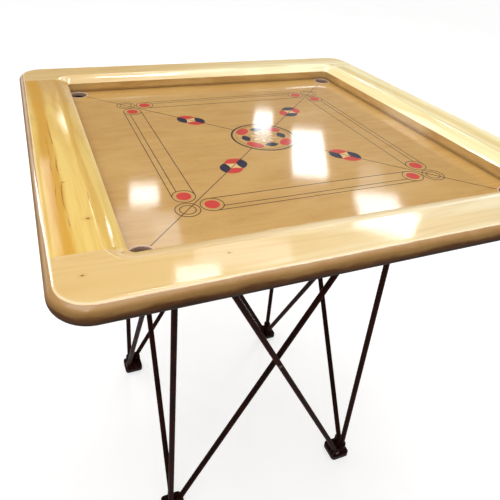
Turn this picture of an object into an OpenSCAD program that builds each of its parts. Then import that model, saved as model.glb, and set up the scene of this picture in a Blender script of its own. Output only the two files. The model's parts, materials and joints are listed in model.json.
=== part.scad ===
// Carrom board on a folding scissor stand.
// Z is up, the floor is z = 0, the origin is under the centre of the board.
// The stand's four sides carry one crossed pair of braces each, pinned at the ends and in the middle.

/* [Board] */

// Side of the square playing field between the rail walls
field = 740; // [600:1:800]
// Width of a rail
rail_w = 110; // [60:1:130]
// Height of a rail above the playing surface
rail_h = 35; // [20:1:60]
// Height of the playing surface above the floor
surface_z = 844; // [600:1:900]
// Thickness of the playing panel
panel_t = 10; // [6:1:20]
// Distance of the panel's edge from the rails' outer face
panel_inset = 30; // [10:1:40]
// Corner radius of the panel
panel_corner = 30; // [5:1:40]
// Corner radius of the rails, outside, in plan
rail_corner = 55; // [30:1:90]
// Corner radius of the rail walls, inside, in plan
wall_corner = 12; // [4:1:20]
// Height of the rails' upright inner wall, below the slope on their inner top edge
wall_h = 22.5; // [10:0.5:30]
// Width of that slope
slope_w = 32; // [10:1:40]
// Radius of the rounding on the rails' outer top edge
outer_round = 15; // [5:1:20]
// Radius of the rounding under the rails' outer edge
under_round = 19; // [5:1:19]

/* [Pockets] */

// Radius of a pocket opening
pocket_r = 20; // [18:0.5:25]
// Wall of a pocket ring
ring_wall = 2; // [1:0.25:4]
// Depth of the bevel on a pocket ring's mouth
ring_bevel = 1.2; // [0.5:0.1:2]
// Depth of the cup under a pocket
cup_depth = 26; // [15:1:40]
// Wall of a pocket cup
cup_wall = 1.5; // [1:0.1:3]
// Inside radius of a pocket cup's floor
cup_floor_r = 17; // [12:0.5:19]
// Radius of a pocket cup's flange
cup_flange_r = 27; // [23:0.5:30]

/* [Panel screws] */

// Number of screws into each rail
screw_count = 4; // [2:1:6]
// Distance between neighbouring screws
screw_pitch = 200; // [100:5:260]
// Radius of a screw's shank
screw_r = 2.4; // [1.5:0.1:4]
// Radius of a screw's head
screw_head_r = 4.8; // [3:0.1:7]
// Height of a screw's countersunk head
screw_head_h = 3; // [2:0.1:5]
// Depth of a screw in the rail
screw_bite = 20; // [10:1:28]

/* [Stand] */

// Distance of a leg from the stand's centre, along X and along Y
leg_half = 235; // [180:1:300]
// Sideways place of the stand under the board
stand_x = -30; // [-40:1:40]
// Outside radius of the leg and brace tubes
tube_r = 6.35; // [5:0.05:10]
// Wall of the leg and brace tubes
tube_wall = 1.4; // [1:0.05:2]
// Height of the lower brace pivots
foot_pivot_z = 24; // [20:1:40]
// Height of the upper brace pivots
top_pivot_z = 808; // [500:1:860]
// Distance of a brace pivot from its leg, along the stand's side
pivot_out = 20; // [15:1:30]
// Distance of a brace from the plane of the legs
brace_shift = 7; // [6.6:0.1:9]
// Thickness of the flattened end of a brace
eye_t = 5; // [3:0.1:6]
// Radius of the flattened end of a brace
eye_r = 8; // [6:0.1:10]
// Width of the flattened neck of a brace
neck_w = 11.6; // [8:0.1:12.4]
// Distance from a brace's pivot to the start of its round tube
neck_l = 16; // [12:1:24]
// Length of the flattened neck inside the tube
neck_in = 10; // [5:1:20]

/* [Brackets] */

// Side of a bracket's plate
plate_w = 50; // [40:1:52]
// Thickness of a bracket's plate
plate_t = 4; // [3:0.5:6]
// Corner radius of a bracket's plate
plate_corner = 9; // [3:1:14]
// Distance of the plate's centre from the leg, along X and along Y
plate_shift = 8; // [4:1:12]
// Distance from a bracket's plate to its brace pivots
pivot_rise = 10; // [9:1:16]
// Thickness of a bracket's lug
lug_t = 3; // [2:0.1:4]
// Side gap between a lug and a brace end
lug_gap = 0.2; // [0.1:0.05:0.5]
// Radius of the socket around a leg
socket_r = 10.5; // [8:0.1:11]
// Height of the socket around a leg
socket_h = 24; // [15:1:40]
// Width of a lug above and beside its pivot
lug_r = 13; // [9:0.5:14]
// Side of a rubber pad
pad_w = 50; // [36:1:56]
// Width and height of the step round a foot pad's sole
pad_step = 2; // [1:0.5:4]

/* [Pins and slide rods] */

// Radius of the brace pins
pin_r = 3; // [2:0.1:4]
// Radial clearance of a pin in a brace
pin_fit = 0.05; // [0.02:0.01:0.1]
// Radius of a pin's head
pin_head_r = 4.8; // [4:0.1:6]
// Thickness of a pin's head
pin_head_t = 2; // [1:0.1:3]
// Side play of a rivet's head and washer at the outer brace
rivet_play = 0.15; // [0.05:0.05:0.5]
// Radial clearance of a slide rod in its leg tube
slide_fit = 0.05; // [0.02:0.01:0.1]
// Length of a slide rod inside its leg tube
slide_in = 190; // [130:5:300]
// Gap between a leg tube and the socket above it
leg_gap = 0.5; // [0.2:0.1:2]

/* [Hidden] */

half = field / 2;
outer = half + rail_w;
panel_half = outer - panel_inset;
pocket_at = half - pocket_r - ring_wall;
screw_line = half + rail_w / 2;

// Corners, counter-clockwise from the front left: the turn that points a bracket's lugs inwards.
FL = 0;
FR = 90;
BR = 180;
BL = 270;

// Sides: the turn that brings a side of the stand to the front.
FRONT = 0;
RIGHT = 90;
BACK = 180;
LEFT = 270;

// Inner brackets stand front left and back right at the floor, and at the other two corners on top.
INSIDE = 1;
OUTSIDE = -1;

pivot_half = leg_half - pivot_out;
pivot_span = top_pivot_z - foot_pivot_z;
brace_l = sqrt(pow(2 * pivot_half, 2) + pow(pivot_span, 2));
brace_tilt = atan(2 * pivot_half / pivot_span);
foot_plate_z = foot_pivot_z - pivot_rise - plate_t;
top_plate_z = top_pivot_z + pivot_rise;
panel_bottom = surface_z - panel_t;
bore_r = tube_r - tube_wall;
leg_top = top_plate_z - socket_h - leg_gap;
pin_half = eye_t / 2 + lug_gap + lug_t;

wood = [0.86, 0.74, 0.50];
ply = [0.80, 0.64, 0.38];
steel = [0.12, 0.08, 0.08];
bright = [0.62, 0.62, 0.62];
rubber = [0.06, 0.06, 0.06];
ring_grey = [0.75, 0.73, 0.70];

// ---- Board ----

// Section of a rail's outer half: x runs outwards from the corner's centre, y is the height.
module outer_section() {
    top_c = [rail_corner - outer_round, rail_h - outer_round];
    low_c = [rail_corner - under_round, under_round];
    polygon(concat(
        [[0, 0], [rail_corner - under_round, 0]],
        [for (a = [-78.75 : 11.25 : 0]) low_c + under_round * [cos(a), sin(a)]],
        [for (a = [0 : 11.25 : 90]) top_c + outer_round * [cos(a), sin(a)]],
        [[0, rail_h]]
    ));
}

// Section of the well's edge: x runs outwards from the wall corner's centre.
module well_section(reach) {
    polygon([[0, -1], [reach, -1], [reach, wall_h - 1.5], [reach + 1.5, wall_h], [reach + slope_w, rail_h],
             [reach + slope_w, rail_h + 1], [0, rail_h + 1]]);
}

module extrude_x(len) {
    translate([-len / 2, 0, 0])
        rotate([90, 0, 90])
            linear_extrude(len)
                children();
}

// The space above the playing field, flared at the top by the rails' inner slope.
module well() {
    straight = field - 2 * wall_corner;
    for (turn = [0, 90, 180, 270]) {
        rotate([0, 0, turn])
            extrude_x(straight)
                well_section(half);
        rotate([0, 0, turn])
            translate([half - wall_corner, half - wall_corner, 0])
                rotate_extrude($fn = 64)
                    well_section(wall_corner);
    }
}

module rail_side(len) {
    translate([0, outer - rail_corner, 0])
        extrude_x(len)
            outer_section();
    translate([-len / 2, half, 0])
        cube([len, rail_w - rail_corner, rail_h]);
}

module rail_end() {
    corner = outer - rail_corner;
    translate([corner, corner, 0])
        rotate_extrude(angle = 90, $fn = 96)
            outer_section();
    translate([corner, half, 0])
        rotate([90, 0, 0])
            mirror([0, 0, 1])
                linear_extrude(corner - half)
                    outer_section();
}

// A rail that runs the full width, drawn at the back.
module long_rail() {
    translate([0, 0, surface_z])
        difference() {
            union() {
                rail_side(2 * (outer - rail_corner));
                rail_end();
                mirror([1, 0, 0])
                    rail_end();
            }
            well();
        }
}

// A rail that butts between the two long rails, drawn at the back.
module short_rail() {
    translate([0, 0, surface_z])
        difference() {
            rail_side(field);
            well();
        }
}

module screw_places() {
    for (turn = [0, 90, 180, 270])
        rotate([0, 0, turn])
            for (i = [0 : screw_count - 1])
                translate([(i - (screw_count - 1) / 2) * screw_pitch, screw_line, panel_bottom])
                    children();
}

module screw() {
    cylinder(h = screw_head_h, r1 = screw_head_r, r2 = screw_r, $fn = 24);
    cylinder(h = panel_t + screw_bite, r = screw_r, $fn = 24);
}

module panel_screws() {
    color(bright)
        screw_places()
            screw();
}

module playing_panel() {
    color(ply)
        difference() {
            translate([0, 0, panel_bottom])
                linear_extrude(panel_t)
                    offset(r = panel_corner, $fn = 64)
                        square(2 * (panel_half - panel_corner), center = true);
            for (x = [-pocket_at, pocket_at])
                for (y = [-pocket_at, pocket_at])
                    translate([x, y, panel_bottom - 1])
                        cylinder(h = panel_t + 2, r = pocket_r + ring_wall, $fn = 96);
            screw_places()
                screw();
        }
}

module pocket_ring(x, y) {
    color(ring_grey)
        translate([x * pocket_at, y * pocket_at, panel_bottom])
            rotate_extrude($fn = 96)
                polygon([[pocket_r, 0], [pocket_r + ring_wall, 0], [pocket_r + ring_wall, panel_t],
                         [pocket_r + ring_bevel, panel_t], [pocket_r, panel_t - ring_bevel]]);
}

module pocket_cup(x, y) {
    color(rubber)
        translate([x * pocket_at, y * pocket_at, panel_bottom])
            rotate_extrude($fn = 96)
                polygon([[pocket_r, 0], [cup_flange_r, 0], [cup_flange_r, -cup_wall],
                         [pocket_r + cup_wall, -cup_wall], [cup_floor_r + cup_wall, -cup_depth],
                         [0, -cup_depth], [0, cup_wall - cup_depth], [cup_floor_r, cup_wall - cup_depth]]);
}

module rail_front() {
    color(wood)
        rotate([0, 0, 180])
            long_rail();
}

module rail_back() {
    color(wood)
        long_rail();
}

module rail_left() {
    color(wood)
        rotate([0, 0, 90])
            short_rail();
}

module rail_right() {
    color(wood)
        rotate([0, 0, 270])
            short_rail();
}

// ---- Stand ----

// Puts a corner's parts on its leg, with +X and +Y pointing along the stand's sides.
module at_corner(corner) {
    translate([stand_x, 0, 0])
        rotate([0, 0, corner])
            translate([-leg_half, -leg_half, 0])
                children();
}

// The same for a top bracket, turned upside down.
module at_top(corner) {
    at_corner(corner)
        translate([0, 0, top_pivot_z + foot_pivot_z])
            rotate([0, 0, 90])
                rotate([180, 0, 0])
                    children();
}

// One clevis: two lugs across the first side's brace end, on the given side of the leg.
module lugs(place) {
    lug_from = eye_t / 2 + lug_gap;
    for (side = [-1, 1])
        translate([pivot_out, place * brace_shift + side * (lug_from + lug_t / 2), foot_pivot_z])
            rotate([90, 0, 0])
                difference() {
                    linear_extrude(lug_t, center = true)
                        polygon([[-eye_r, -pivot_rise - 1], [-eye_r, lug_r / 2], [-eye_r / 2, lug_r - 1],
                                 [lug_r / 2, lug_r], [lug_r - 1, lug_r / 2], [lug_r, -pivot_rise - 1]]);
                    cylinder(h = lug_t + 1, r = pin_r, center = true, $fn = 48);
                }
}

// The second side's copy is the first one seen in the mirror that swaps X and Y.
module both_sides() {
    children();
    mirror([1, -1, 0])
        children();
}

module bracket(place, hole) {
    difference() {
        union() {
            translate([plate_shift, plate_shift, foot_plate_z])
                slab(plate_w, plate_corner, plate_t);
            translate([0, 0, foot_plate_z + plate_t - 1])
                cylinder(h = socket_h + 1, r = socket_r, $fn = 48);
            both_sides()
                lugs(place);
        }
        translate([0, 0, foot_plate_z + plate_t])
            cylinder(h = socket_h + 1, r = hole, $fn = 48);
    }
}

module pin() {
    rotate([90, 0, 0]) {
        cylinder(h = 2 * pin_half, r = pin_r, center = true, $fn = 48);
        for (side = [-1, 1])
            translate([0, 0, side * (pin_half + pin_head_t / 2)])
                cylinder(h = pin_head_t, r1 = pin_head_r - (side + 1) / 2 * 0.6,
                         r2 = pin_head_r - (1 - side) / 2 * 0.6, center = true, $fn = 32);
    }
}

module corner_pins(place) {
    both_sides()
        translate([pivot_out, place * brace_shift, foot_pivot_z])
            pin();
}

module foot_bracket(corner, place) {
    color(steel)
        at_corner(corner)
            bracket(place, tube_r);
}

module top_bracket(corner, place) {
    color(steel)
        at_top(corner)
            bracket(place, bore_r - slide_fit);
}

// A square slab with rounded corners, standing on the origin.
module slab(side, corner_r, t) {
    linear_extrude(t)
        offset(r = corner_r, $fn = 48)
            square(side - 2 * corner_r, center = true);
}

module foot_pad(corner) {
    color(rubber)
        at_corner(corner)
            translate([plate_shift, plate_shift, 0]) {
                slab(pad_w - 2 * pad_step, plate_corner - pad_step, foot_plate_z);
                translate([0, 0, pad_step])
                    slab(pad_w, plate_corner, foot_plate_z - pad_step);
            }
}

module top_pad(corner) {
    pad_t = panel_bottom - top_plate_z - plate_t;
    color(rubber)
        at_corner(corner)
            translate([plate_shift, plate_shift, top_plate_z + plate_t])
                slab(pad_w - 6, plate_corner, pad_t);
}

module foot_pins(corner, place) {
    color(bright)
        at_corner(corner)
            corner_pins(place);
}

module top_pins(corner, place) {
    color(bright)
        at_top(corner)
            corner_pins(place);
}

module leg_tube(corner) {
    bottom = foot_plate_z + plate_t;
    color(steel)
        at_corner(corner)
            translate([0, 0, bottom])
                difference() {
                    cylinder(h = leg_top - bottom, r = tube_r, $fn = 48);
                    translate([0, 0, -1])
                        cylinder(h = leg_top - bottom + 2, r = bore_r, $fn = 48);
                }
}

module slide_rod(corner) {
    color(bright)
        at_corner(corner)
            translate([0, 0, leg_top - slide_in])
                cylinder(h = top_plate_z - leg_top + slide_in, r = bore_r - slide_fit, $fn = 48);
}

// The flattened end of a brace, with the brace running up Z and the pin along Y.
module brace_eye() {
    rotate([90, 0, 0])
        cylinder(h = eye_t, r = eye_r, center = true, $fn = 48);
    translate([-neck_w / 2, -eye_t / 2, 0])
        cube([neck_w, eye_t, neck_l + neck_in]);
}

// A brace standing on its lower pivot.
module brace_bar(rivet_hole) {
    difference() {
        union() {
            difference() {
                translate([0, 0, neck_l])
                    cylinder(h = brace_l - 2 * neck_l, r = tube_r, $fn = 48);
                translate([0, 0, neck_l - 1])
                    cylinder(h = brace_l - 2 * neck_l + 2, r = bore_r, $fn = 48);
            }
            brace_eye();
            translate([0, 0, brace_l])
                rotate([0, 180, 0])
                    brace_eye();
        }
        for (z = [0, brace_l])
            translate([0, 0, z])
                rotate([90, 0, 0])
                    cylinder(h = eye_t + 1, r = pin_r + pin_fit, center = true, $fn = 48);
        translate([0, 0, brace_l / 2])
            rotate([90, 0, 0])
                cylinder(h = 2 * tube_r + 1, r = rivet_hole, center = true, $fn = 48);
    }
}

// A brace on one side of the stand: inside or outside the plane of the legs,
// with its top leaning to the right (lean = 1) or to the left (lean = -1) as that side is faced.
module brace(side, place, lean) {
    color(steel)
        translate([stand_x, 0, 0])
            rotate([0, 0, side])
                translate([-lean * pivot_half, -leg_half + place * brace_shift, foot_pivot_z])
                    rotate([0, lean * brace_tilt, 0])
                        brace_bar(place == INSIDE ? pin_r : pin_r + pin_fit);
}

// The rivet at a crossing, with a washer between the two tubes.
module rivet(side) {
    reach = brace_shift + tube_r;
    gap = brace_shift - tube_r;
    color(bright)
        translate([stand_x, 0, 0])
            rotate([0, 0, side])
                translate([0, -leg_half, foot_pivot_z + pivot_span / 2])
                    rotate([90, 0, 0]) {
                        translate([0, 0, -reach])
                            cylinder(h = 2 * reach + rivet_play, r = pin_r, $fn = 48);
                        translate([0, 0, -gap])
                            cylinder(h = 2 * gap - rivet_play, r = 2 * pin_r, $fn = 48);
                        translate([0, 0, reach + rivet_play])
                            cylinder(h = pin_head_t, r1 = pin_head_r, r2 = pin_head_r - 1, $fn = 32);
                        translate([0, 0, -reach - pin_head_t])
                            cylinder(h = pin_head_t, r1 = pin_head_r - 1, r2 = pin_head_r, $fn = 32);
                    }
}

playing_panel();
rail_front();
rail_back();
rail_left();
rail_right();
pocket_ring(-1, -1);  // pocket_ring_fl
pocket_ring(1, -1);  // pocket_ring_fr
pocket_ring(-1, 1);  // pocket_ring_bl
pocket_ring(1, 1);  // pocket_ring_br
pocket_cup(-1, -1);  // pocket_cup_fl
pocket_cup(1, -1);  // pocket_cup_fr
pocket_cup(-1, 1);  // pocket_cup_bl
pocket_cup(1, 1);  // pocket_cup_br
panel_screws();
foot_bracket(FL, INSIDE);  // foot_bracket_fl
foot_bracket(FR, OUTSIDE);  // foot_bracket_fr
foot_bracket(BL, OUTSIDE);  // foot_bracket_bl
foot_bracket(BR, INSIDE);  // foot_bracket_br
foot_pad(FL);  // foot_pad_fl
foot_pad(FR);  // foot_pad_fr
foot_pad(BL);  // foot_pad_bl
foot_pad(BR);  // foot_pad_br
foot_pins(FL, INSIDE);  // foot_pins_fl
foot_pins(FR, OUTSIDE);  // foot_pins_fr
foot_pins(BL, OUTSIDE);  // foot_pins_bl
foot_pins(BR, INSIDE);  // foot_pins_br
leg_tube(FL);  // leg_tube_fl
leg_tube(FR);  // leg_tube_fr
leg_tube(BL);  // leg_tube_bl
leg_tube(BR);  // leg_tube_br
top_bracket(FL, OUTSIDE);  // top_bracket_fl
top_bracket(FR, INSIDE);  // top_bracket_fr
top_bracket(BL, INSIDE);  // top_bracket_bl
top_bracket(BR, OUTSIDE);  // top_bracket_br
top_pad(FL);  // top_pad_fl
top_pad(FR);  // top_pad_fr
top_pad(BL);  // top_pad_bl
top_pad(BR);  // top_pad_br
top_pins(FL, OUTSIDE);  // top_pins_fl
top_pins(FR, INSIDE);  // top_pins_fr
top_pins(BL, INSIDE);  // top_pins_bl
top_pins(BR, OUTSIDE);  // top_pins_br
slide_rod(FL);  // slide_rod_fl
slide_rod(FR);  // slide_rod_fr
slide_rod(BL);  // slide_rod_bl
slide_rod(BR);  // slide_rod_br
brace(FRONT, INSIDE, 1);  // brace_front_a
brace(FRONT, OUTSIDE, -1);  // brace_front_b
brace(RIGHT, INSIDE, -1);  // brace_right_a
brace(RIGHT, OUTSIDE, 1);  // brace_right_b
brace(BACK, INSIDE, 1);  // brace_back_a
brace(BACK, OUTSIDE, -1);  // brace_back_b
brace(LEFT, INSIDE, -1);  // brace_left_a
brace(LEFT, OUTSIDE, 1);  // brace_left_b
rivet(FRONT);  // rivet_front
rivet(RIGHT);  // rivet_right
rivet(BACK);  // rivet_back
rivet(LEFT);  // rivet_left
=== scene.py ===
import json
import math

import bmesh
import bpy
from mathutils import Euler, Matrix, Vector


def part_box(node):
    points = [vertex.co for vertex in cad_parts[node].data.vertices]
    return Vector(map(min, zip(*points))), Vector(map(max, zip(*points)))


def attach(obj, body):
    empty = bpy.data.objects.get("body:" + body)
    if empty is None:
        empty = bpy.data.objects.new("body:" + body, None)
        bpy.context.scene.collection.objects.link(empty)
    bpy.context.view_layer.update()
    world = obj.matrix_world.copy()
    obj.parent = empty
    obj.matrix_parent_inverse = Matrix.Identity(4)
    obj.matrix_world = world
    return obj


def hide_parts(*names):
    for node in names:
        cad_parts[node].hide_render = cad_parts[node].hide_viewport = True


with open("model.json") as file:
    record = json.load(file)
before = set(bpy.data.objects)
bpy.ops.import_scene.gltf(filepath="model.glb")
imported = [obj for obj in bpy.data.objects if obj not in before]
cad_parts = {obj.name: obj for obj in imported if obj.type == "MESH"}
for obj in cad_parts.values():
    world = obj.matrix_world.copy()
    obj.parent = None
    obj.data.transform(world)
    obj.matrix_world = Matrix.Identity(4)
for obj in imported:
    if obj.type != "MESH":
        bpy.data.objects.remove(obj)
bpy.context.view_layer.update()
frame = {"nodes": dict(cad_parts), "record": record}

MM = 0.001

# Driving places, read from the frame. The board is square and centred on the origin.
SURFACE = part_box("playing_panel")[1].z  # height of the playing field
FIELD = -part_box("rail_left")[1].x  # half the playing field's width
OUTER = -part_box("rail_left")[0].x  # half the whole board's width
RAIL_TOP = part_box("rail_left")[1].z
POCKET = (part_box("pocket_ring_br")[0].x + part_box("pocket_ring_br")[1].x) / 2  # along X and Y
POCKET_RIM = (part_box("pocket_ring_br")[1].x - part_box("pocket_ring_br")[0].x) / 2
PLY_PITCH = 3.3 * MM  # from one dark layer of the plywood to the next

# The rails' section and corners.
WALL_CORNER = 12 * MM  # radius in plan
RAIL_CORNER = 55 * MM  # radius in plan
WALL_HEIGHT = 22.5 * MM
SLOPE_WIDTH = 32 * MM
SLOPE_CROWN = 1.1 * MM
OUTER_ROUND = 15 * MM  # radius of the outer face's upper edge
UNDER_ROUND = 19 * MM  # radius of its lower edge
SHADOW_GAP = 1.5 * MM  # under the inner wall's foot
SHADOW_BEVEL = 0.5 * MM
WALL_EASE = 0.6 * MM  # of the edge between the inner wall and the slope
FLAT_EDGE = 1.5 * MM  # extra points this far into the flat faces keep their shading flat
JOINT_BEVEL = 0.7 * MM
JOINT_AT = FIELD - 0.1 * MM  # distance of the joints between the rails from the board's middle
JOINT_GAP = 0.15 * MM
SIDE_CUT = FIELD - WALL_CORNER + 0.1 * MM  # parts the left and right rails from the rest of the ring


# ---- Camera ----

CAMERA_PLACE = Vector((-0.4752, -0.9359, 0.4363))  # from the middle of the playing field
CAMERA_TURN = (62.31, -3.69, -21.42)  # degrees about X, Y and Z
CAMERA_LENS = 37.4
CAMERA_SHIFT = (0.039, -0.14)


def make_camera():
    data = bpy.data.cameras.new("camera")
    data.lens = CAMERA_LENS
    data.shift_x, data.shift_y = CAMERA_SHIFT
    camera = bpy.data.objects.new("camera", data)
    camera.location = CAMERA_PLACE + Vector((0, 0, SURFACE))
    camera.rotation_euler = Euler([math.radians(a) for a in CAMERA_TURN], "XYZ")
    bpy.context.scene.collection.objects.link(camera)
    bpy.context.scene.camera = camera


# ---- Materials ----

def colour(red, green, blue):
    """A colour as it looks on a screen, 0 to 255, turned into the linear values that shaders use."""
    def linear(value):
        value /= 255
        return value / 12.92 if value <= 0.04045 else ((value + 0.055) / 1.055) ** 2.4
    return (linear(red), linear(green), linear(blue), 1.0)


class Finish:
    """A material and short calls for building its nodes.

    sockets are settings of its shader, by the names of the shader's inputs.
    """

    def __init__(self, name, **sockets):
        self.material = bpy.data.materials.new(name)
        self.material.use_nodes = True
        self.tree = self.material.node_tree
        self.shader = self.tree.nodes["Principled BSDF"]
        for key, value in sockets.items():
            self.shader.inputs[key.replace("_", " ").title().replace("Ior", "IOR")].default_value = value

    def node(self, kind, inputs=(), **settings):
        made = self.tree.nodes.new(kind)
        for key, value in settings.items():
            setattr(made, key, value)
        for socket, value in dict(inputs).items():
            if isinstance(value, bpy.types.NodeSocket):
                self.tree.links.new(value, made.inputs[socket])
            else:
                made.inputs[socket].default_value = value
        return made

    def point(self):
        return self.node("ShaderNodeTexCoord").outputs["Object"]

    def parts(self, vector):
        return self.node("ShaderNodeSeparateXYZ", {0: vector}).outputs

    def stretch(self, vector, scale, place=(0, 0, 0)):
        inputs = {"Vector": vector, "Scale": scale, "Location": place}
        return self.node("ShaderNodeMapping", inputs).outputs[0]

    def noise(self, vector, scale, detail=3.0, rough=0.5, swirl=0.0):
        inputs = {"Vector": vector, "Scale": scale, "Detail": detail, "Roughness": rough, "Distortion": swirl}
        return self.node("ShaderNodeTexNoise", inputs).outputs[0]

    def math(self, operation, first, second=0.0):
        return self.node("ShaderNodeMath", {0: first, 1: second}, operation=operation).outputs[0]

    def span(self, value, low, high, low_out=0.0, high_out=1.0):
        """Maps low..high onto low_out..high_out with soft ends."""
        if low > high:
            low, high, low_out, high_out = high, low, high_out, low_out
        inputs = {"Value": value, "From Min": low, "From Max": high, "To Min": low_out, "To Max": high_out}
        made = self.node("ShaderNodeMapRange", inputs)
        made.interpolation_type = "SMOOTHSTEP"
        return made.outputs[0]

    def mix(self, share, first, second):
        """The colour first, with the given share of the colour second."""
        return self.node("ShaderNodeMix", {0: share, 6: first, 7: second}, data_type="RGBA").outputs[2]

    def bump(self, height, strength, distance):
        inputs = {"Height": height, "Strength": strength, "Distance": distance}
        return self.node("ShaderNodeBump", inputs).outputs[0]

    def set(self, socket, value):
        """Links value to one of the shader's inputs."""
        self.tree.links.new(value, self.shader.inputs[socket])


def grain_point(finish, grain):
    """The object's point with its first axis along the grain: grain is 0 for X and 1 for Y."""
    x, y, z = finish.parts(finish.point())
    along, across = (x, y) if grain == 0 else (y, x)
    return finish.node("ShaderNodeCombineXYZ", {0: along, 1: across, 2: z}).outputs[0]


def knot(f, base, centre, size):
    """Darkens base with a small knot of the given size round centre, in metres."""
    point = f.point()
    apart = f.node("ShaderNodeVectorMath", {0: point, 1: centre}, operation="SUBTRACT").outputs[0]
    apart = f.stretch(apart, (1.0, 1.5, 0.3))
    distance = f.node("ShaderNodeVectorMath", {0: apart}, operation="LENGTH").outputs["Value"]
    wobble = f.math("MULTIPLY", f.noise(point, 240, 2), size * 0.7)
    distance = f.math("ADD", distance, wobble)
    halo = f.span(distance, size * 0.9, size * 3.5, 0.35, 0.0)
    base = f.mix(halo, base, colour(196, 140, 66))
    return f.mix(f.span(distance, size * 0.6, size * 1.3, 0.85, 0.0), base, colour(84, 50, 26))


def plan_reach(f, straight):
    """Distance from the board's centre in plan, the same all round a square with rounded corners.

    straight is how far the corners' centres are from the middle along X and Y.
    """
    x, y, _ = f.parts(f.point())
    past = [f.math("MAXIMUM", f.math("SUBTRACT", f.math("ABSOLUTE", c), straight), 0.0) for c in (x, y)]
    squares = [f.math("POWER", p, 2.0) for p in past]
    return f.math("ADD", f.math("SQRT", f.math("ADD", *squares)), straight)


def solid_wood(name, grain, pale, streak, shade, zones=(), knots=(), cracks=(), ends=(), seed=0.0,
               figured=1.0):
    """Lacquered plank.

    grain is 0 for X and 1 for Y. pale, streak and shade are its main, streaked and line colours.
    zones are bands of the streak colour along the grain, each as (middle, half width, strength).
    ends are slow changes along the grain, each as (full, gone, strength, colour).
    cracks are dark lines along the grain, each as (place across, start, end, half width).
    knots are (centre, size). All places are in metres from the origin, which is under the board's centre.
    seed shifts the pattern and figured scales the contrast of the grain lines.
    """
    f = Finish(name, roughness=0.4, coat_weight=1.0, coat_roughness=0.07, specular_ior_level=0.15)
    point = grain_point(f, grain)
    along, across, _ = f.parts(point)
    drift = f.noise(f.stretch(point, (2.2, 3, 3), (seed, seed, 0)), 1.0, 2, 0.5)
    wander = f.math("ADD", across, f.math("MULTIPLY", f.math("SUBTRACT", drift, 0.5), 50 * MM))
    tongue = f.noise(f.stretch(point, (5, 45, 25), (0, seed, seed)), 1.0, 4, 0.55, 0.6)
    uneven = f.math("SUBTRACT", tongue, 0.5)
    figure = f.noise(f.stretch(point, (1.3, 11, 9), (seed, 3 * seed, 0)), 1.0, 2, 0.4, 0.4)
    rings = f.math("SINE", f.math("MULTIPLY", figure, 80))
    fine = f.noise(f.stretch(point, (6, 190, 120), (seed, 0, 0)), 1.0, 3, 0.6)
    fibre = f.noise(f.stretch(point, (22, 1300, 500)), 1.0, 2, 0.6)
    base = f.mix(f.span(tongue, 0.42, 0.72, 0.0, 0.5 * figured), pale, streak)
    shifted = f.math("ADD", along, f.math("MULTIPLY", uneven, 0.3))
    for full, gone, strength, tint in ends:
        base = f.mix(f.span(shifted, full, gone, strength, 0.0), base, tint)
    for middle, half_width, strength in zones:
        off = f.math("ABSOLUTE", f.math("SUBTRACT", wander, middle))
        off = f.math("ADD", off, f.math("MULTIPLY", uneven, half_width * 1.8))
        base = f.mix(f.span(off, half_width * 0.4, half_width * 1.3, strength, 0.0), base, streak)
    base = f.mix(f.span(rings, -0.2, 1.0, 0.0, 0.2 * figured), base, shade)
    base = f.mix(f.span(fine, 0.5, 0.8, 0.0, 0.3 * figured), base, shade)
    base = f.mix(f.span(fibre, 0.5, 0.85, 0.0, 0.15), base, shade)
    for place, start, end, half_width in cracks:
        base = crack(f, base, point, place, start, end, half_width)
    for centre, size in knots:
        base = knot(f, base, centre, size)
    # painted highlight and painted shade on the rail's outer edge and inner wall
    edge_light_and_shade(f, base)
    height = f.math("ADD", f.math("MULTIPLY", fibre, 0.6), f.math("MULTIPLY", fine, 0.8))
    f.set("Normal", f.bump(height, 0.2, 0.2 * MM))
    f.set("Coat Normal", varnish(f, point))
    return f.material


def crack(f, base, point, place, start, end, half_width):
    """Darkens base along a fine line of the grain that comes and goes."""
    along, across, _ = f.parts(point)
    bend = f.noise(f.stretch(point, (7, 0, 0)), 1.0, 2, 0.4)
    sway = f.math("MULTIPLY", f.math("SUBTRACT", bend, 0.5), 20 * MM)
    off = f.math("SUBTRACT", across, f.math("ADD", place, sway))
    share = f.span(f.math("ABSOLUTE", off), half_width * 0.3, half_width, 1.0, 0.0)
    length = end - start
    for edge, within in ((start, start + length * 0.2), (end, end - length * 0.2)):
        share = f.math("MULTIPLY", share, f.span(along, edge, within))
    patchy = f.span(f.noise(f.stretch(point, (24, 24, 1)), 1.0, 3, 0.7), 0.4, 0.62, 0.15, 0.8)
    return f.mix(f.math("MULTIPLY", share, patchy), base, colour(140, 92, 26))


def varnish(f, point):
    """The uneven skin of brushed varnish: long brush marks over an orange peel."""
    brush = f.noise(f.stretch(point, (2.5, 26, 12)), 1.0, 2)
    peel = f.noise(point, 170, 3, 0.6)
    skin = f.math("ADD", f.math("MULTIPLY", brush, 0.8), f.math("MULTIPLY", peel, 0.7))
    return f.bump(skin, 0.2, 0.3 * MM)


# Painted shade on the rails' outer face, from its upper edge down: browns that darken to near black lower
# down. Each has the two depths under the rail's top between which it takes over, in millimetres, how patchily
# it does so, and its colour.
FACE_SHADE = (
    (0.9, 1.4, 0.1, colour(162, 120, 68)),
    (3, 9, 0.4, colour(136, 102, 58)),
    (9, 16, 1.0, colour(78, 45, 16)),
    (15, 24, 1.0, colour(36, 17, 7)),
    (24, 32, 1.0, colour(18, 8, 4)),
)


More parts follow.
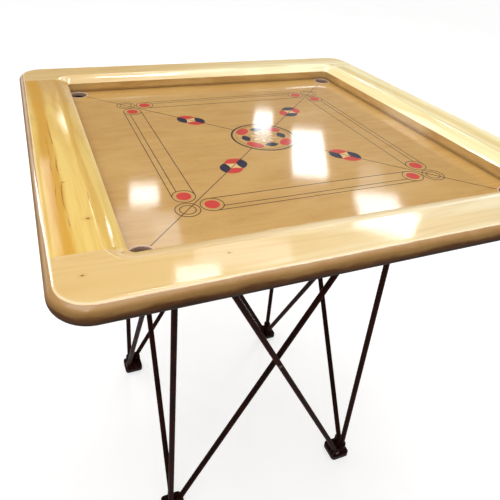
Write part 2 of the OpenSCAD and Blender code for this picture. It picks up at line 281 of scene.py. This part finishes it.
def edge_light_and_shade(f, base):
    """Sets a rail's colour and gloss from its plain wood colour, base.

    The outer face has a painted highlight along its upper edge and painted shade below it, brown darkening
    downwards; there it also has almost no lacquer and is matte.
    The inner wall has painted shade: it is darker than the top, most of all at its foot, where a painted
    shadow lies.
    """
    z = f.parts(f.point())[2]
    worn = f.noise(f.stretch(f.point(), (14, 14, 60)), 1.0, 4, 0.65)
    wave = f.math("SUBTRACT", worn, 0.5)
    depth = f.math("SUBTRACT", RAIL_TOP, z)
    outer = plan_reach(f, OUTER - RAIL_CORNER)
    face = f.span(outer, OUTER - 20 * MM, OUTER - 12 * MM)
    streaks = f.span(worn, 0.35, 0.7, 0.9, 1.0)
    # painted highlight: a pale line along the outer face's upper edge, standing in for the gleam of its
    # lacquer
    edge_highlight = f.math("MULTIPLY", f.span(depth, 0.15 * MM, 0.5 * MM), f.math("MULTIPLY", face, streaks))
    base = f.mix(f.math("MULTIPLY", edge_highlight, 0.38), base, colour(250, 236, 206))
    # painted shade: the outer face browns and darkens downwards, patchily
    for start, end, patchy, shade in FACE_SHADE:
        reach = f.math("ADD", depth, f.math("MULTIPLY", wave, 12 * MM * patchy))
        share = f.math("MULTIPLY", f.math("MULTIPLY", f.span(reach, start * MM, end * MM), face), streaks)
        base = f.mix(share, base, shade)
    bare = f.math("MULTIPLY", f.span(depth, 1.8 * MM, 8 * MM), face)
    f.set("Coat Weight", f.span(bare, 0.0, 1.0, 1.0, 0.02))
    matte = f.math("MULTIPLY", bare, 0.85)
    f.set("Roughness", f.math("MAXIMUM", f.span(worn, 0.3, 0.7, 0.36, 0.5), matte))
    # painted shade: the inner wall is darker than the top, standing in for its shade and the field mirrored
    # in it
    inner = plan_reach(f, FIELD - WALL_CORNER)
    upright = f.span(inner, FIELD + 2.2 * MM, FIELD + 1.2 * MM)
    low = f.math("SUBTRACT", z, SURFACE)
    below_slope = f.span(low, WALL_HEIGHT + 0.6 * MM, WALL_HEIGHT - 0.8 * MM, 0.0, 0.9)
    wall = f.math("MULTIPLY", upright, below_slope)
    shade = f.mix(f.span(worn, 0.35, 0.65), colour(196, 150, 84), colour(216, 176, 108))
    # painted shadow along the wall's foot
    shade = f.mix(f.span(low, 7.5 * MM, 5 * MM, 0.0, 0.5), shade, colour(128, 84, 40))
    f.set("Base Color", f.mix(wall, base, shade))


def plywood(name):
    """Varnished plywood of the playing panel, with its layers on the edges and a raw underside."""
    f = Finish(name, roughness=0.4, coat_weight=1.0, coat_roughness=0.07, specular_ior_level=0.15)
    point = grain_point(f, 0)
    figure = f.noise(f.stretch(point, (0.8, 6, 1)), 1.0, 2, 0.45, 0.7)
    rings = f.math("SINE", f.math("MULTIPLY", figure, 50))
    streak = f.noise(f.stretch(point, (9, 50, 1), (5, 0, 0)), 1.0, 5, 0.65, 0.8)
    fleck = f.noise(f.stretch(point, (90, 300, 1)), 1.0, 3, 0.7)
    pore = f.noise(f.stretch(point, (120, 900, 1)), 1.0, 2, 0.6)
    cloud = f.noise(point, 6, 4, 0.6)
    base = f.mix(f.span(streak, 0.36, 0.66), colour(186, 146, 83), colour(179, 137, 74))
    base = f.mix(f.span(rings, 0.1, 1.0, 0.0, 0.12), base, colour(166, 122, 61))
    base = f.mix(f.span(cloud, 0.4, 0.7, 0.0, 0.6), base, colour(192, 155, 91))
    base = f.mix(f.span(pore, 0.5, 0.85, 0.0, 0.3), base, colour(144, 100, 46))
    base = f.mix(f.span(fleck, 0.62, 0.8, 0.0, 0.4), base, colour(134, 90, 42))
    layers = f.math("SINE", f.math("MULTIPLY", f.parts(f.point())[2], 2 * math.pi / PLY_PITCH))
    upright = f.parts(f.node("ShaderNodeNewGeometry").outputs["Normal"])[2]
    side = f.math("SUBTRACT", 1.0, f.math("ABSOLUTE", upright))
    side = f.math("MULTIPLY", f.span(side, 0.4, 0.8), f.span(layers, -0.3, 0.5, 0.1, 0.8))
    base = f.mix(side, base, colour(120, 78, 42))
    under = f.span(upright, -0.3, -0.7)
    raw = f.mix(f.span(streak, 0.36, 0.66), colour(150, 112, 72), colour(128, 92, 56))
    f.set("Base Color", f.mix(under, base, raw))
    f.set("Coat Weight", f.math("SUBTRACT", 1.0, under))
    raw_matte = f.math("MULTIPLY", under, 0.35)
    f.set("Roughness", f.math("ADD", f.span(streak, 0.3, 0.7, 0.34, 0.48), raw_matte))
    f.set("Normal", f.bump(f.math("ADD", pore, fleck), 0.12, 0.2 * MM))
    f.set("Coat Normal", varnish(f, point))
    return f.material


def ink(name, main, worn):
    """Printed ink under the varnish, with faint wear."""
    f = Finish(name, coat_weight=1.0, coat_roughness=0.07, specular_ior_level=0.2)
    wear = f.noise(f.point(), 420, 4, 0.65)
    patch = f.noise(f.point(), 30, 2)
    share = f.math("MULTIPLY", f.span(wear, 0.45, 0.75), f.span(patch, 0.3, 0.7, 0.3, 0.9))
    f.set("Base Color", f.mix(share, main, worn))
    f.set("Roughness", f.span(wear, 0.3, 0.8, 0.3, 0.5))
    f.set("Normal", f.bump(wear, 0.1, 0.1 * MM))
    f.set("Coat Normal", varnish(f, f.point()))
    return f.material


def stand_paint(name):
    """Dark brown stove paint with an uneven skin, rubbed in places."""
    f = Finish(name, specular_ior_level=0.03)
    point = f.point()
    skin = f.noise(point, 900, 3, 0.5)
    patch = f.noise(point, 22, 4, 0.6)
    rub = f.noise(f.stretch(point, (60, 60, 12)), 1.0, 4, 0.7)
    base = f.mix(f.span(patch, 0.35, 0.7), colour(28, 9, 6), colour(46, 19, 13))
    base = f.mix(f.span(rub, 0.62, 0.8, 0.0, 0.5), base, colour(66, 38, 30))
    f.set("Base Color", base)
    f.set("Roughness", f.span(patch, 0.3, 0.75, 0.42, 0.62))
    f.set("Normal", f.bump(skin, 0.2, 0.2 * MM))
    return f.material


def rubber(name):
    """Black rubber with dust and a fine grit."""
    f = Finish(name, specular_ior_level=0.3)
    point = f.point()
    dust = f.noise(point, 70, 5, 0.65)
    grit = f.noise(point, 1400, 2)
    f.set("Base Color", f.mix(f.span(dust, 0.45, 0.8), colour(18, 13, 12), colour(44, 36, 33)))
    f.set("Roughness", f.span(dust, 0.3, 0.8, 0.62, 0.9))
    f.set("Normal", f.bump(grit, 0.35, 0.2 * MM))
    return f.material


def worn_steel(name, main, rust):
    """Dull turned steel with spots of rust."""
    f = Finish(name, metallic=1.0)
    point = f.point()
    spots = f.noise(point, 160, 5, 0.7)
    turned = f.noise(f.stretch(point, (200, 200, 2400)), 1.0, 2)
    f.set("Base Color", f.mix(f.span(spots, 0.55, 0.75, 0.0, 0.7), main, rust))
    f.set("Roughness", f.span(spots, 0.35, 0.75, 0.26, 0.6))
    f.set("Normal", f.bump(turned, 0.12, 0.1 * MM))
    return f.material


def pocket_plastic(name):
    """Pale scuffed plastic, with painted shade darkening it towards the bottom of the ring."""
    f = Finish(name)
    scuff = f.noise(f.point(), 240, 5, 0.65)
    z = f.parts(f.point())[2]
    base = f.mix(f.span(scuff, 0.4, 0.72), colour(206, 176, 156), colour(176, 146, 128))
    # painted shade deep in the pocket's bore
    bore_shade = f.span(z, SURFACE - 8 * MM, SURFACE - 16 * MM, 0.0, 0.8)
    base = f.mix(bore_shade, base, colour(108, 84, 70))
    f.set("Base Color", base)
    f.set("Roughness", f.span(scuff, 0.3, 0.8, 0.32, 0.6))
    f.set("Normal", f.bump(scuff, 0.15, 0.2 * MM))
    return f.material


def stage_floor(name):
    """Plain pale floor that glows a little, so that no dark shadow falls on it."""
    f = Finish(name, emission_color=(1, 1, 1, 1), emission_strength=0.63)
    grain = f.noise(f.point(), 3, 2)
    f.set("Base Color", f.mix(f.span(grain, 0.3, 0.7), colour(178, 178, 177), colour(182, 182, 181)))
    f.set("Roughness", f.span(grain, 0.3, 0.7, 0.85, 0.95))
    return f.material


# ---- Rails ----

def arc(centre, radius, start, end, steps):
    """Points on an arc from one angle to another, in degrees, both ends included."""
    angles = [math.radians(start + (end - start) * i / steps) for i in range(steps + 1)]
    return [(centre[0] + radius * math.cos(a), centre[1] + radius * math.sin(a)) for a in angles]


def rail_section():
    """The rail's outline, from the wall's foot outwards.

    Each point is (distance from the board's centre, height, whether it follows the inner corners in plan).
    """
    high = RAIL_TOP - SURFACE
    ease = WALL_EASE
    inner = [(FIELD + SHADOW_GAP, 0), (FIELD + SHADOW_GAP, SHADOW_GAP), (FIELD, SHADOW_GAP + SHADOW_BEVEL)]
    inner += [(FIELD, WALL_HEIGHT - 2 * ease), (FIELD, WALL_HEIGHT - ease), (FIELD + ease, WALL_HEIGHT)]
    steps = 8
    for i in range(1, steps + 1):
        share = i / steps
        rise = (high - WALL_HEIGHT) * share + SLOPE_CROWN * 4 * share * (1 - share)
        inner.append((FIELD + ease + (SLOPE_WIDTH - ease) * share, WALL_HEIGHT + rise))
    inner += [(FIELD + SLOPE_WIDTH + FLAT_EDGE, high)]
    outer = [(OUTER - OUTER_ROUND - FLAT_EDGE, high)]
    outer += arc((OUTER - OUTER_ROUND, high - OUTER_ROUND), OUTER_ROUND, 90, 0, 10)
    outer += arc((OUTER - UNDER_ROUND, UNDER_ROUND), UNDER_ROUND, 0, -90, 12)
    outer += [(OUTER - UNDER_ROUND - FLAT_EDGE, 0)]
    return [(d, z, True) for d, z in inner] + [(d, z, False) for d, z in outer]


def skin(bm, rows):
    """Faces between closed rows of points, the last row joined to the first."""
    for i, row in enumerate(rows):
        following = rows[(i + 1) % len(rows)]
        for j in range(len(row)):
            k = (j + 1) % len(row)
            bm.faces.new((row[j], following[j], following[k], row[k]))
    bmesh.ops.recalc_face_normals(bm, faces=bm.faces)


def frame_ring():
    """All four rails as one closed ring with rounded corners, before it is cut into rails."""
    bm = bmesh.new()
    section = rail_section()
    inside = FIELD - WALL_CORNER
    outside = OUTER - RAIL_CORNER
    rows = []
    steps = 16
    for quarter in range(4):
        sign_x = 1 if quarter in (0, 3) else -1
        sign_y = 1 if quarter in (0, 1) else -1
        for step in range(steps + 1):
            a = math.radians(90 * (quarter + step / steps))
            row = []
            for d, z, inner in section:
                middle = inside if inner else outside
                x = sign_x * middle + (d - middle) * math.cos(a)
                y = sign_y * middle + (d - middle) * math.sin(a)
                row.append(bm.verts.new((x, y, SURFACE + z)))
            rows.append(row)
    skin(bm, rows)
    return bm


TOUCHING = 1e-7  # points closer than this, in metres, are one


def cut(bm, place, direction):
    """Keeps the side of the plane that lies against direction."""
    everything = bm.verts[:] + bm.edges[:] + bm.faces[:]
    bmesh.ops.bisect_plane(bm, geom=everything, dist=TOUCHING, plane_co=place, plane_no=direction,
                           clear_outer=True)


def close_ends(bm):
    """Fills the open ends, eases their edges and splits the ends into triangles."""
    open_edges = [e for e in bm.edges if e.is_boundary]
    ends = bmesh.ops.holes_fill(bm, edges=open_edges, sides=0)["faces"]
    rims = list({e for face in ends for e in face.edges})
    bmesh.ops.bevel(bm, geom=rims, offset=JOINT_BEVEL, segments=2, profile=0.5, affect="EDGES",
                    clamp_overlap=True)
    bmesh.ops.triangulate(bm, faces=[face for face in bm.faces if len(face.verts) > 4])
    bmesh.ops.recalc_face_normals(bm, faces=bm.faces)


def finish_mesh(name, bm, material, sharp=38):
    """Turns bm into an object, smooth except where faces meet at more than sharp degrees."""
    bmesh.ops.remove_doubles(bm, verts=bm.verts, dist=TOUCHING)
    for edge in bm.edges:
        edge.smooth = len(edge.link_faces) == 2 and edge.calc_face_angle(0) < math.radians(sharp)
    for face in bm.faces:
        face.smooth = True
    mesh = bpy.data.meshes.new(name)
    bm.to_mesh(mesh)
    bm.free()
    mesh.materials.append(material)
    piece = bpy.data.objects.new(name, mesh)
    bpy.context.scene.collection.objects.link(piece)
    return piece


def make_rail(side, material):
    """The rail that lies in the direction side, (x, y), from the centre.

    The front and back rails run the full width, and the left and right rails fit between them.
    """
    names = {(0, -1): "front", (0, 1): "back", (-1, 0): "left", (1, 0): "right"}
    bm = frame_ring()
    x, y = side
    if y:
        cut(bm, (0, y * JOINT_AT, 0), (0, -y, 0))
    else:
        cut(bm, (x * SIDE_CUT, 0, 0), (-x, 0, 0))
        for end in (-1, 1):
            cut(bm, (0, end * (JOINT_AT - JOINT_GAP), 0), (0, end, 0))
    close_ends(bm)
    piece = finish_mesh(names[side] + "_rail_wood", bm, material)
    weigh = piece.modifiers.new("even_normals", "WEIGHTED_NORMAL")
    weigh.keep_sharp = True
    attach(piece, "board")
    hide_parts("rail_" + names[side])


# ---- Pockets ----

POCKET_BORE = 19.6 * MM
LIP_RISE = 0.7 * MM  # above the playing field
LIP_ROUND = 1.6 * MM  # radius on the lip's bore side
LIP_EDGE = 0.5 * MM  # radius on the lip's outer side
LIP_EDGE_INSET = 0.2 * MM  # of that radius's centre from the pocket's rim
LIP_LAP = 0.5 * MM  # how far the lip laps over the panel
LIP_GAP = 0.1 * MM  # between the lip and the panel
FOOT_FLARE = 0.7 * MM  # by which the bore widens at its foot
FOOT_HEIGHT = 1 * MM  # of the flare


def pocket_section():
    """A pocket liner's outline as (radius, height), closed: a rounded lip over a plain bore."""
    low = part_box("pocket_ring_br")[0].z
    high = SURFACE + LIP_RISE
    outline = [(POCKET_RIM, low), (POCKET_RIM, SURFACE), (POCKET_RIM + LIP_LAP, SURFACE + LIP_GAP)]
    outline += arc((POCKET_RIM - LIP_EDGE_INSET, high - LIP_EDGE), LIP_EDGE, 20, 90, 4)
    outline += arc((POCKET_BORE + LIP_ROUND, high - LIP_ROUND), LIP_ROUND, 90, 180, 8)
    outline += [(POCKET_BORE, low + FOOT_HEIGHT), (POCKET_BORE + FOOT_FLARE, low)]
    return outline


def make_pocket(name, x, y, material):
    """The pocket liner in the corner that lies in the direction (x, y) from the centre."""
    bm = bmesh.new()
    steps = 96
    outline = pocket_section()
    rows = []
    for step in range(steps):
        a = 2 * math.pi * step / steps
        row = []
        for r, z in outline:
            row.append(bm.verts.new((x * POCKET + r * math.cos(a), y * POCKET + r * math.sin(a), z)))
        rows.append(row)
    skin(bm, rows)
    piece = finish_mesh("pocket_liner_" + name, bm, material, 50)
    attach(piece, "board")
    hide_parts("pocket_ring_" + name)


# ---- Markings on the playing field ----

INK_SINK = 0.1 * MM  # how far the prints reach into the panel


class Print:
    """Thin shapes of one ink on the playing field, in millimetres from its middle."""

    def __init__(self, name, material, height):
        self.name = name
        self.material = material
        self.low = SURFACE - INK_SINK
        self.high = SURFACE + height * MM
        self.bm = bmesh.new()

    def loop(self, points, z):
        """New points of the mesh at the height z, in metres, over the given ones."""
        return [self.bm.verts.new((x * MM, y * MM, z)) for x, y in points]

    def wall(self, low, high):
        """The faces between a lower and an upper loop."""
        for i in range(len(low)):
            j = (i + 1) % len(low)
            self.bm.faces.new((low[i], low[j], high[j], high[i]))

    def patch(self, points):
        """A filled outline."""
        low, high = self.loop(points, self.low), self.loop(points, self.high)
        self.bm.faces.new(high)
        self.bm.faces.new(low[::-1])
        self.wall(low, high)

    def band(self, outer, inner):
        """The closed band between two outlines with as many points each."""
        loops = [self.loop(points, z) for z in (self.low, self.high) for points in (outer, inner)]
        low_out, low_in, high_out, high_in = loops
        for i in range(len(outer)):
            j = (i + 1) % len(outer)
            self.bm.faces.new((high_out[i], high_out[j], high_in[j], high_in[i]))
            self.bm.faces.new((low_in[i], low_in[j], low_out[j], low_out[i]))
        self.wall(low_out, high_out)
        self.wall(high_in, low_in)

    def line(self, start, end, width):
        a, b = Vector(start), Vector(end)
        side = (b - a).normalized().orthogonal() * width / 2
        self.patch([a + side, b + side, b - side, a - side])

    def circle(self, centre, radius, width):
        self.band(circle_points(centre, radius + width / 2), circle_points(centre, radius - width / 2))

    def disc(self, centre, radius):
        self.patch(circle_points(centre, radius))

    def leaf(self, tip_a, tip_b, width):
        """A leaf between two tips."""
        a, b = Vector(tip_a), Vector(tip_b)
        side = (b - a).normalized().orthogonal() * width / 2
        steps = 16
        shares = [2 * i / steps - 1 for i in range(steps + 1)]
        one = [(a + b) / 2 + (b - a) / 2 * t + side * (1 - t * t) for t in shares]
        other = [(a + b) / 2 - (b - a) / 2 * t - side * (1 - t * t) for t in shares]
        self.patch(one + other[1:-1])

    def done(self):
        """Makes the shapes into one piece that rides on the board."""
        bmesh.ops.triangulate(self.bm, faces=[f for f in self.bm.faces if len(f.verts) > 4])
        bmesh.ops.recalc_face_normals(self.bm, faces=self.bm.faces)
        piece = finish_mesh(self.name, self.bm, self.material)
        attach(piece, "board")


def on_circle(centre, radius, degrees):
    a = math.radians(degrees)
    return (centre[0] + radius * math.cos(a), centre[1] + radius * math.sin(a))


def circle_points(centre, radius, count=72):
    return [on_circle(centre, radius, 360 * i / count) for i in range(count)]


def bent_oval(centre, distance, angle, radial, tangential, count=36):
    """An oval whose middle is distance out from centre, bent to follow the circle round centre.

    radial and tangential are its sizes outwards and along that circle, in millimetres.
    """
    points = []
    for i in range(count):
        t = 2 * math.pi * i / count
        reach = distance + radial / 2 * math.sin(t)
        turn = angle + math.degrees(tangential / 2 / distance * math.cos(t))
        points.append(on_circle(centre, reach, turn))
    return points


# Sizes of the markings, in millimetres.
LINE = 1.5  # width of most lines
BASE_LINE = 243.6  # from the middle of the field to the middle of the base line
BASE_END = 206  # from the middle of the base line to its end circles
BASE_RADIUS = 20
BASE_DISC = 13
MIDDLE_LINE = 252  # from the middle of the field to the third line between two base circles
CORNER_MARK = 250  # of the double circles' centres, along X and Y
CORNER_RADII = (21, 13.5)
POCKET_LINE_GAP = 1  # between a diagonal line and its pocket, along X and Y

# The four-leaf rings on the diagonals.
RING_AT = {(1, 1): 130, (-1, 1): 126, (-1, -1): 117.5, (1, -1): 126.5}  # the print is a little uneven
RING_LONG = 34.5  # from a ring's centre to its leaves' tips along the diagonal
RING_SHORT = 20.5  # and across it
RING_LEAF = 20.5  # a leaf's width
RING_EYE = (24, 15)  # half the length and width of the pale middle

# The middle circle. RED_OVAL and PETAL are (distance out, size outwards, size across),
# and NAVY_LEAF is (distance out, length, width).
CENTRE_RADIUS = 70
CENTRE_LINE = 4.4
INNER_RADIUS = 61
INNER_LINE = 0.8
RED_OVAL = (51, 24, 38)
NAVY_LEAF = (41.5, 31, 19)
PETALS = 8
PETAL_START = 3
PETAL = (17, 22, 9)
PETAL_EDGES = ((23, 10), (21.2, 8.6))  # size outwards and across of a petal's outline, outside and inside


def turned(point, quarter):
    """The point turned by quarter turns about the field's middle."""
    x, y = point
    for _ in range(quarter):
        x, y = -y, x
    return (x, y)


def print_base_lines(brown, red):
    """On each side, three lines that join two circles with a red disc in each."""
    for quarter in range(4):
        for end in (-1, 1):
            centre = turned((end * BASE_END, -BASE_LINE), quarter)
            red.disc(centre, BASE_DISC)
            brown.circle(centre, BASE_RADIUS, LINE)
        inset = math.sqrt(BASE_RADIUS ** 2 - (MIDDLE_LINE - BASE_LINE) ** 2)
        lines = ((BASE_LINE + BASE_RADIUS, BASE_END), (BASE_LINE - BASE_RADIUS, BASE_END),
                 (MIDDLE_LINE, BASE_END - inset))
        for level, reach in lines:
            brown.line(turned((-reach, -level), quarter), turned((reach, -level), quarter), LINE)


def print_corners(brown, navy, red, pale):
    """In each corner's direction, a four-leaf ring, a double circle and a line to the pocket."""
    for sx, sy in ((1, 1), (-1, 1), (-1, -1), (1, -1)):
        for radius in CORNER_RADII:
            brown.circle((sx * CORNER_MARK, sy * CORNER_MARK), radius, LINE)
        out = Vector((sx, sy)).normalized()
        across = Vector((-out.y, out.x))
        middle = Vector((sx, sy)) * RING_AT[sx, sy]
        swapped = sx < 0 and sy < 0
        turns = [2 * math.pi * i / 48 for i in range(48)]
        long, short = RING_EYE
        pale.patch([middle + out * long * math.cos(t) + across * short * math.sin(t) for t in turns])
        for u in (1, -1):
            for v in (1, -1):
                leaf_ink = navy if (u * v > 0) != swapped else red
                leaf_ink.leaf(middle + out * u * RING_LONG, middle + across * v * RING_SHORT, RING_LEAF)
        start = CENTRE_RADIUS / math.sqrt(2)
        end = (POCKET - POCKET_RIM / math.sqrt(2)) / MM - POCKET_LINE_GAP
        brown.line((sx * start, sy * start), (sx * end, sy * end), LINE)


def print_centre(brown, navy, red, pale):
    """The middle circle: a double ring round red ovals, dark leaves and pale petals."""
    middle = (0, 0)
    brown.circle(middle, CENTRE_RADIUS, CENTRE_LINE)
    brown.circle(middle, INNER_RADIUS, INNER_LINE)
    for i in range(4):
        distance, outwards, across = RED_OVAL
        red.patch(bent_oval(middle, distance, 45 + 90 * i, outwards, across))
        distance, length, width = NAVY_LEAF
        out = Vector(on_circle(middle, 1, 90 * i))
        side = Vector((-out.y, out.x)) * length / 2
        navy.leaf(out * distance - side, out * distance + side, width)
    distance, outwards, across = PETAL
    for i in range(PETALS):
        angle = 360 / PETALS * (i + 0.5)
        start = on_circle(middle, PETAL_START, angle)
        pale.patch(bent_oval(start, distance, angle, outwards, across))
        outside, inside = [bent_oval(start, distance, angle, *sizes) for sizes in PETAL_EDGES]
        brown.band(outside, inside)


def make_markings():
    """The four prints, each at its own height so that none lies in another's surface."""
    inks = {
        "pale": ink("pale_ink", colour(210, 174, 112), colour(206, 150, 100)),
        "red": ink("red_ink", colour(188, 46, 34), colour(180, 64, 46)),
        "navy": ink("navy_ink", colour(22, 9, 42), colour(32, 18, 44)),
        "brown": ink("brown_ink", colour(50, 26, 12), colour(88, 54, 26)),
    }
    heights = {"pale": 0.08, "red": 0.12, "navy": 0.16, "brown": 0.2}  # in millimetres
    prints = {key: Print(key + "_print", inks[key], heights[key]) for key in inks}
    print_base_lines(prints["brown"], prints["red"])
    print_corners(prints["brown"], prints["navy"], prints["red"], prints["pale"])
    print_centre(prints["brown"], prints["navy"], prints["red"], prints["pale"])
    for made in prints.values():
        made.done()


# ---- Stage and light ----

def make_stage():
    reach = 14  # metres from the board's centre
    mesh = bpy.data.meshes.new("floor")
    corners = [(x * reach, y * reach, 0) for x, y in ((-1, -1), (1, -1), (1, 1), (-1, 1))]
    mesh.from_pydata(corners, [], [(0, 1, 2, 3)])
    mesh.materials.append(stage_floor("floor_finish"))
    floor = bpy.data.objects.new("floor", mesh)
    bpy.context.scene.collection.objects.link(floor)


# The studio's dome as steps of (sine of the height above the horizon, brightness). Its dark middle keeps
# the varnish from veiling the wood and the prints. The camera itself sees a plain backdrop.
SKY = ((0.08, 0.95), (0.20, 0.09), (0.62, 0.12), (0.82, 1.35))
BACKDROP = (0.98, 0.98, 0.98, 1)


def make_world():
    world = bpy.data.worlds.new("studio")
    bpy.context.scene.world = world
    world.use_nodes = True
    tree = world.node_tree
    background = tree.nodes["Background"]
    point = tree.nodes.new("ShaderNodeTexCoord")
    parts = tree.nodes.new("ShaderNodeSeparateXYZ")
    ramp = tree.nodes.new("ShaderNodeValToRGB")
    tree.links.new(point.outputs["Generated"], parts.inputs[0])
    tree.links.new(parts.outputs[2], ramp.inputs[0])
    path = tree.nodes.new("ShaderNodeLightPath")
    seen = tree.nodes.new("ShaderNodeMix")
    seen.data_type = "RGBA"
    seen.inputs[7].default_value = BACKDROP
    tree.links.new(path.outputs["Is Camera Ray"], seen.inputs[0])
    tree.links.new(ramp.outputs[0], seen.inputs[6])
    tree.links.new(seen.outputs[2], background.inputs["Color"])
    stops = ramp.color_ramp.elements
    while len(stops) < len(SKY):
        stops.new(0.5)
    for stop, (height, brightness) in zip(stops, SKY):
        stop.position = height
        stop.color = (brightness, brightness, brightness, 1)


def area_light(name, place, turn, size, power, tint=(1, 1, 1)):
    """A rectangular light that shines along its own -Z, in metres and watts."""
    data = bpy.data.lights.new(name, "AREA")
    data.shape = "RECTANGLE"
    data.size, data.size_y = size
    data.energy = power
    data.color = tint
    lamp = bpy.data.objects.new(name, data)
    lamp.location = place
    lamp.rotation_euler = turn
    bpy.context.scene.collection.objects.link(lamp)


def softbox(name, place, target, size, power):
    """A white light that shines from place towards target."""
    turn = (Vector(target) - Vector(place)).to_track_quat("-Z", "Y").to_euler()
    area_light(name, place, turn, size, power)


DAYLIGHT = (0.92, 0.96, 1.0)
GLARE_HEIGHT = 1.5  # of the glare lights above the playing field


def glare(name, near, far, width, brightness, level=0.0):
    """A level light strip that the camera sees mirrored in the board between near and far.

    near and far are in metres from the middle of the field, and width is the width of the patch between them.
    level is the height of the mirroring surface above the playing field.
    """
    stretch = 1 + (GLARE_HEIGHT - level) / (CAMERA_PLACE.z - level)
    eye = CAMERA_PLACE.to_2d()
    ends = [eye + (Vector(p) - eye) * stretch for p in (near, far)]
    middle = (ends[0] + ends[1]) / 2
    run = ends[1] - ends[0]
    size = (width * stretch, run.length)
    place = (middle.x, middle.y, SURFACE + GLARE_HEIGHT)
    power = brightness * math.pi * size[0] * size[1]
    area_light(name, place, (0, 0, math.atan2(-run.x, run.y)), size, power, DAYLIGHT)


def make_lights():
    """General light, then the windows mirrored in the field, then those mirrored in the rails."""
    softbox("key", (-1.6, -1.2, 3.4), (0, 0, SURFACE), (2.4, 2.4), 27)
    softbox("top", (0.3, 0.2, 3.8), (0, 0, SURFACE), (2.0, 2.0), 10)
    softbox("left_window", (-1.75, 2.3, 1.95), (-0.4, 0, SURFACE), (0.35, 1.4), 14)
    softbox("ceiling_strip", (0.7, -0.42, 3.3), (0.7, -0.42, 0), (2.4, 0.16), 16)
    softbox("back_spot", (0.58, 2.254, 4.2), (-0.2, 0.386, SURFACE), (0.8, 0.24), 9.6)
    softbox("corner_light", (-1.3, -2.3, 2.7), (-0.2, -0.3, SURFACE), (0.5, 0.5), 6)
    rail = RAIL_TOP - SURFACE
    glare("window_one", (0.019, 0.049), (0.064, 0.138), 0.041, 10)
    glare("window_one_foot", (-0.013, -0.024), (0.019, 0.049), 0.034, 3.5)
    glare("window_two", (0.008, -0.195), (0.108, 0.004), 0.066, 10)
    glare("window_three", (-0.3135, -0.217), (-0.2985, -0.15), 0.047, 10)
    glare("window_three_foot", (-0.358, -0.36), (-0.333, -0.22), 0.055, 1.8)
    glare("window_three_veil", (-0.315, -0.37), (-0.297, -0.25), 0.05, 2.8)
    glare("window_four", (0.045, -0.375), (0.086, -0.286), 0.075, 9)
    glare("window_four_cap", (0.086, -0.28), (0.15, -0.18), 0.045, 0.9)
    glare("window_four_rail", (-0.02, -0.44), (0.045, -0.385), 0.085, 8, rail)
    glare("left_edge_veil", (-0.461, -0.37), (-0.457, -0.08), 0.016, 2, rail)
    glare("window_five", (-0.306, -0.476), (-0.297, -0.438), 0.055, 9, rail)
    glare("window_five_veil", (-0.24, -0.46), (-0.22, -0.40), 0.13, 2.4, rail)
    glare("left_veil", (-0.398, 0.04), (-0.408, 0.13), 0.018, 5, rail)


# ---- Assembly ----

def paint_nodes(finishes):
    """Gives every CAD node the finish of its material slot."""
    slots = {row["node"]: row["material_slot"] for row in frame["record"]["subparts"]}
    for name, node in frame["nodes"].items():
        node.data.materials.clear()
        node.data.materials.append(finishes[slots[name]])


def main():
    make_camera()
    butter = colour(222, 190, 106)
    cream = colour(230, 212, 168)
    ivory = colour(244, 232, 186)
    pearl = colour(236, 226, 200)
    gold = colour(200, 148, 44)
    tan = colour(208, 172, 106)
    sand = colour(196, 155, 92)
    line = colour(188, 138, 64)
    top = RAIL_TOP
    front_knots = [((-0.435, -0.417, top), 0.0035), ((-0.248, -0.423, top), 0.0025),
                   ((-0.38, -0.378, top), 0.004)]
    left_knots = [((-0.411, -0.29, top), 0.0045), ((-0.434, -0.173, top), 0.003)]
    left_cracks = [(-0.437, -0.36, 0.14, 0.0016), (-0.446, -0.3, 0.05, 0.001), (-0.4, -0.32, -0.2, 0.001)]
    back_knots = [((0.404, 0.39, top), 0.0035)]
    woods = {
        (0, -1): solid_wood(
            "front_rail_wood", 0, cream, tan, line, zones=[(-0.44, 0.02, 0.4)], knots=front_knots,
            ends=[(-0.4, 0.05, 0.85, tan), (0.4, -0.05, 0.5, pearl)], seed=3.1, figured=0.65),
        (0, 1): solid_wood(
            "back_rail_wood", 0, ivory, tan, line, zones=[(0.445, 0.03, 0.5)], knots=back_knots,
            ends=[(-0.3, 0.25, 0.85, tan)], seed=7.7, figured=0.8),
        (-1, 0): solid_wood(
            "left_rail_wood", 1, butter, gold, line, zones=[(-0.443, 0.014, 0.95), (-0.388, 0.006, 0.5)],
            knots=left_knots, cracks=left_cracks, ends=[(0.34, 0.1, 0.85, sand)], seed=1.3, figured=0.8),
        (1, 0): solid_wood(
            "right_rail_wood", 1, ivory, butter, line, zones=[(0.428, 0.014, 0.6), (0.386, 0.02, 0.4)],
            seed=5.9, figured=0.5),
    }
    finishes = {
        "rail_wood": woods[0, -1],
        "play_wood": plywood("playing_plywood"),
        "pocket_ring": pocket_plastic("pocket_ring_plastic"),
        "bright_steel": worn_steel("pin_steel", colour(74, 62, 56), colour(52, 32, 24)),
        "rubber": rubber("foot_rubber"),
        "stand_paint": stand_paint("stand_paint"),
    }
    paint_nodes(finishes)
    for side, wood in woods.items():
        make_rail(side, wood)
    for name, (x, y) in {"fl": (-1, -1), "fr": (1, -1), "bl": (-1, 1), "br": (1, 1)}.items():
        make_pocket(name, x, y, finishes["pocket_ring"])
    make_markings()
    make_stage()
    make_world()
    make_lights()
    bpy.context.scene.view_settings.view_transform = "Standard"


main()
